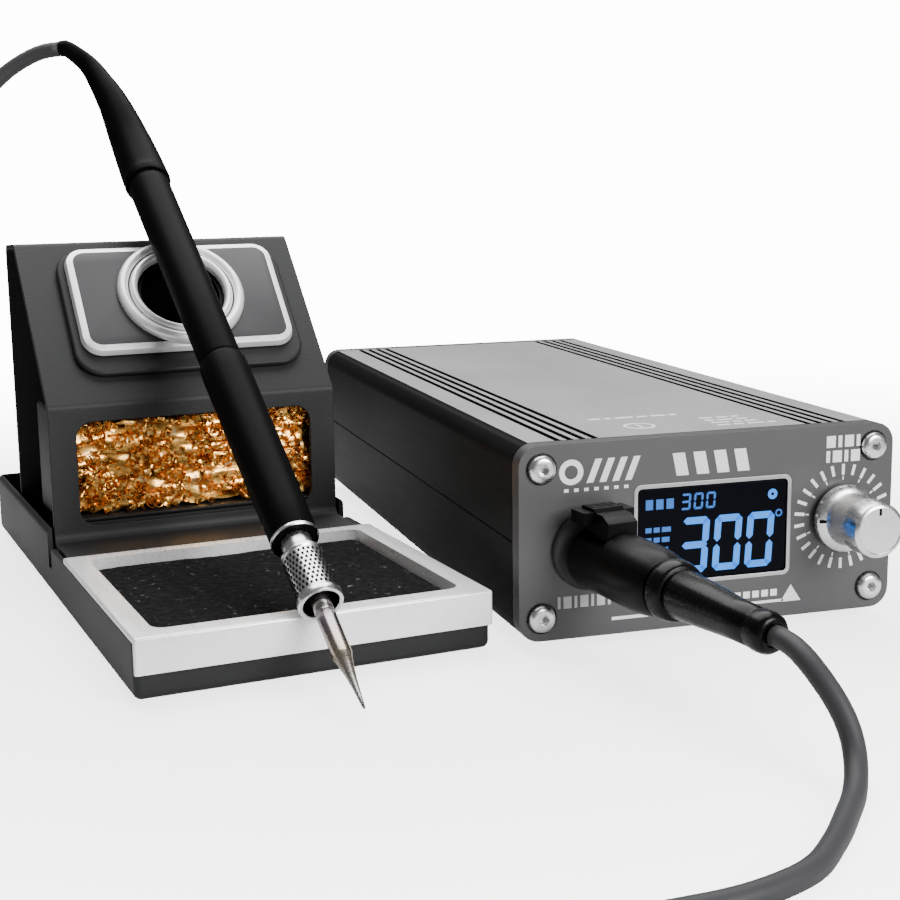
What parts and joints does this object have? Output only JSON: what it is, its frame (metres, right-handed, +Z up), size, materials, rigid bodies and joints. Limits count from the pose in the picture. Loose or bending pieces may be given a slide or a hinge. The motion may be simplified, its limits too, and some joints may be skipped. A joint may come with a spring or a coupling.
{
  "type": "soldering iron station",
  "caption": "Slim aluminium soldering power unit with display and knob, a folded steel stand with sponge and brass wool, and a fine iron resting on it.",
  "frame": {"origin": "on the table, under the middle of the whole object without its lead and plug", "axes": "+Z up, -Y the way the power unit's front panel faces, +X to the right of that panel"},
  "size_m": [0.2198, 0.355, 0.1366],
  "materials": {
    "anodised": "satin anodised grey",
    "panel": "fine blasted, anodised grey",
    "powder": "fine textured powder coat",
    "chrome": "bright plated",
    "steel": "brushed",
    "silver": "turned, clear anodised",
    "plate": "satin grey with a bright edge",
    "black": "satin",
    "grip": "soft satin",
    "rubber": "matt",
    "cable": "soft silicone",
    "lens": "polished, dark",
    "board": "solder mask",
    "copper": "enamelled winding",
    "brass": "fine turnings",
    "sponge": "open cell foam"
  },
  "bodies": {
    "station": {"case_top": "anodised", "case_bottom": "anodised", "front_panel": "panel", "rear_panel": "panel", "front_screw_1": "silver", "front_screw_2": "silver", "front_screw_3": "silver", "front_screw_4": "silver", "rear_screw_1": "silver", "rear_screw_2": "silver", "rear_screw_3": "silver", "rear_screw_4": "silver", "case_foot_1": "rubber", "case_foot_2": "rubber", "case_foot_3": "rubber", "case_foot_4": "rubber", "stand_foot_1": "rubber", "stand_foot_2": "rubber", "stand_foot_3": "rubber", "stand_foot_4": "rubber", "display_window": "lens", "display_module": "black", "control_board": "board", "power_board": "board", "transformer_core": "black", "transformer_winding": "copper", "capacitor": "black", "heat_sink": "silver", "encoder_body": "steel", "iron_socket": "black", "plug_shell": "black", "plug_collar": "black", "plug_boot": "black", "mains_inlet": "black", "switch_frame": "black", "stand_base": "powder", "stand_body": "powder", "stand_screw_1": "silver", "stand_screw_2": "silver", "holder_pad": "powder", "holder_plate": "plate", "holder_ring": "chrome", "holder_sleeve": "black", "cable_plug_side": "cable", "cable_coil": "cable", "cable_iron_side": "cable"},
    "iron": {"grip_sleeve": "grip", "handle_body": "grip", "ferrule": "silver", "contact_block": "steel", "handle_boot": "rubber"},
    "cartridge": {"cartridge": "steel"},
    "tray": {"sponge_tray": "chrome"},
    "sponge": {"sponge": "sponge"},
    "wool_drawer": {"wool_box": "steel", "brass_wool": "brass"},
    "knob_shaft": {"encoder_shaft": "silver"},
    "knob": {"knob": "silver"},
    "latch": {"plug_latch": "black"},
    "power_switch": {"power_switch": "black"}
  },
  "joints": [
    {"name": "iron_lift", "type": "slide", "parent": "station", "child": "iron", "axis": [0, 0, 1], "range_m": [0, 0.06]},
    {"name": "cartridge_pull", "type": "slide", "parent": "iron", "child": "cartridge", "axis": [0.1024, -0.8455, -0.5241], "range_m": [0, 0.084]},
    {"name": "tray_lift", "type": "slide", "parent": "station", "child": "tray", "axis": [0, 0, 1], "range_m": [0, 0.03]},
    {"name": "sponge_lift", "type": "slide", "parent": "tray", "child": "sponge", "axis": [0, 0, 1], "range_m": [0, 0.012]},
    {"name": "wool_drawer_slide", "type": "slide", "parent": "station", "child": "wool_drawer", "axis": [-0.9913, -0.1316, 0], "range_m": [0, 0.06]},
    {"name": "knob_press", "type": "slide", "parent": "station", "child": "knob_shaft", "axis": [0, 1, 0], "range_m": [0, 0.0005], "stiffness_N_per_m": 4000},
    {"name": "knob_turn", "type": "hinge", "parent": "knob_shaft", "child": "knob", "pos_m": [0.0825, -0.0775, 0.024], "axis": [0, 1, 0], "continuous": true},
    {"name": "latch_press", "type": "hinge", "parent": "station", "child": "latch", "pos_m": [0.02442, -0.09048, 0.02695], "axis": [-0.9903, -0.1392, 0], "range_deg": [0, 6], "stiffness_Nm_per_rad": 2},
    {"name": "power_switch_rock", "type": "hinge", "parent": "station", "child": "power_switch", "pos_m": [0.0333, 0.1035, 0.0225], "axis": [0, 0, -1], "range_deg": [0, 18]}
  ],
  "couplings": [
    {"joint": "cartridge_pull", "follows": "iron_lift", "ratio": 1.4},
    {"joint": "tray_lift", "follows": "iron_lift", "ratio": 0.5},
    {"joint": "sponge_lift", "follows": "iron_lift", "ratio": 0.2}
  ]
}
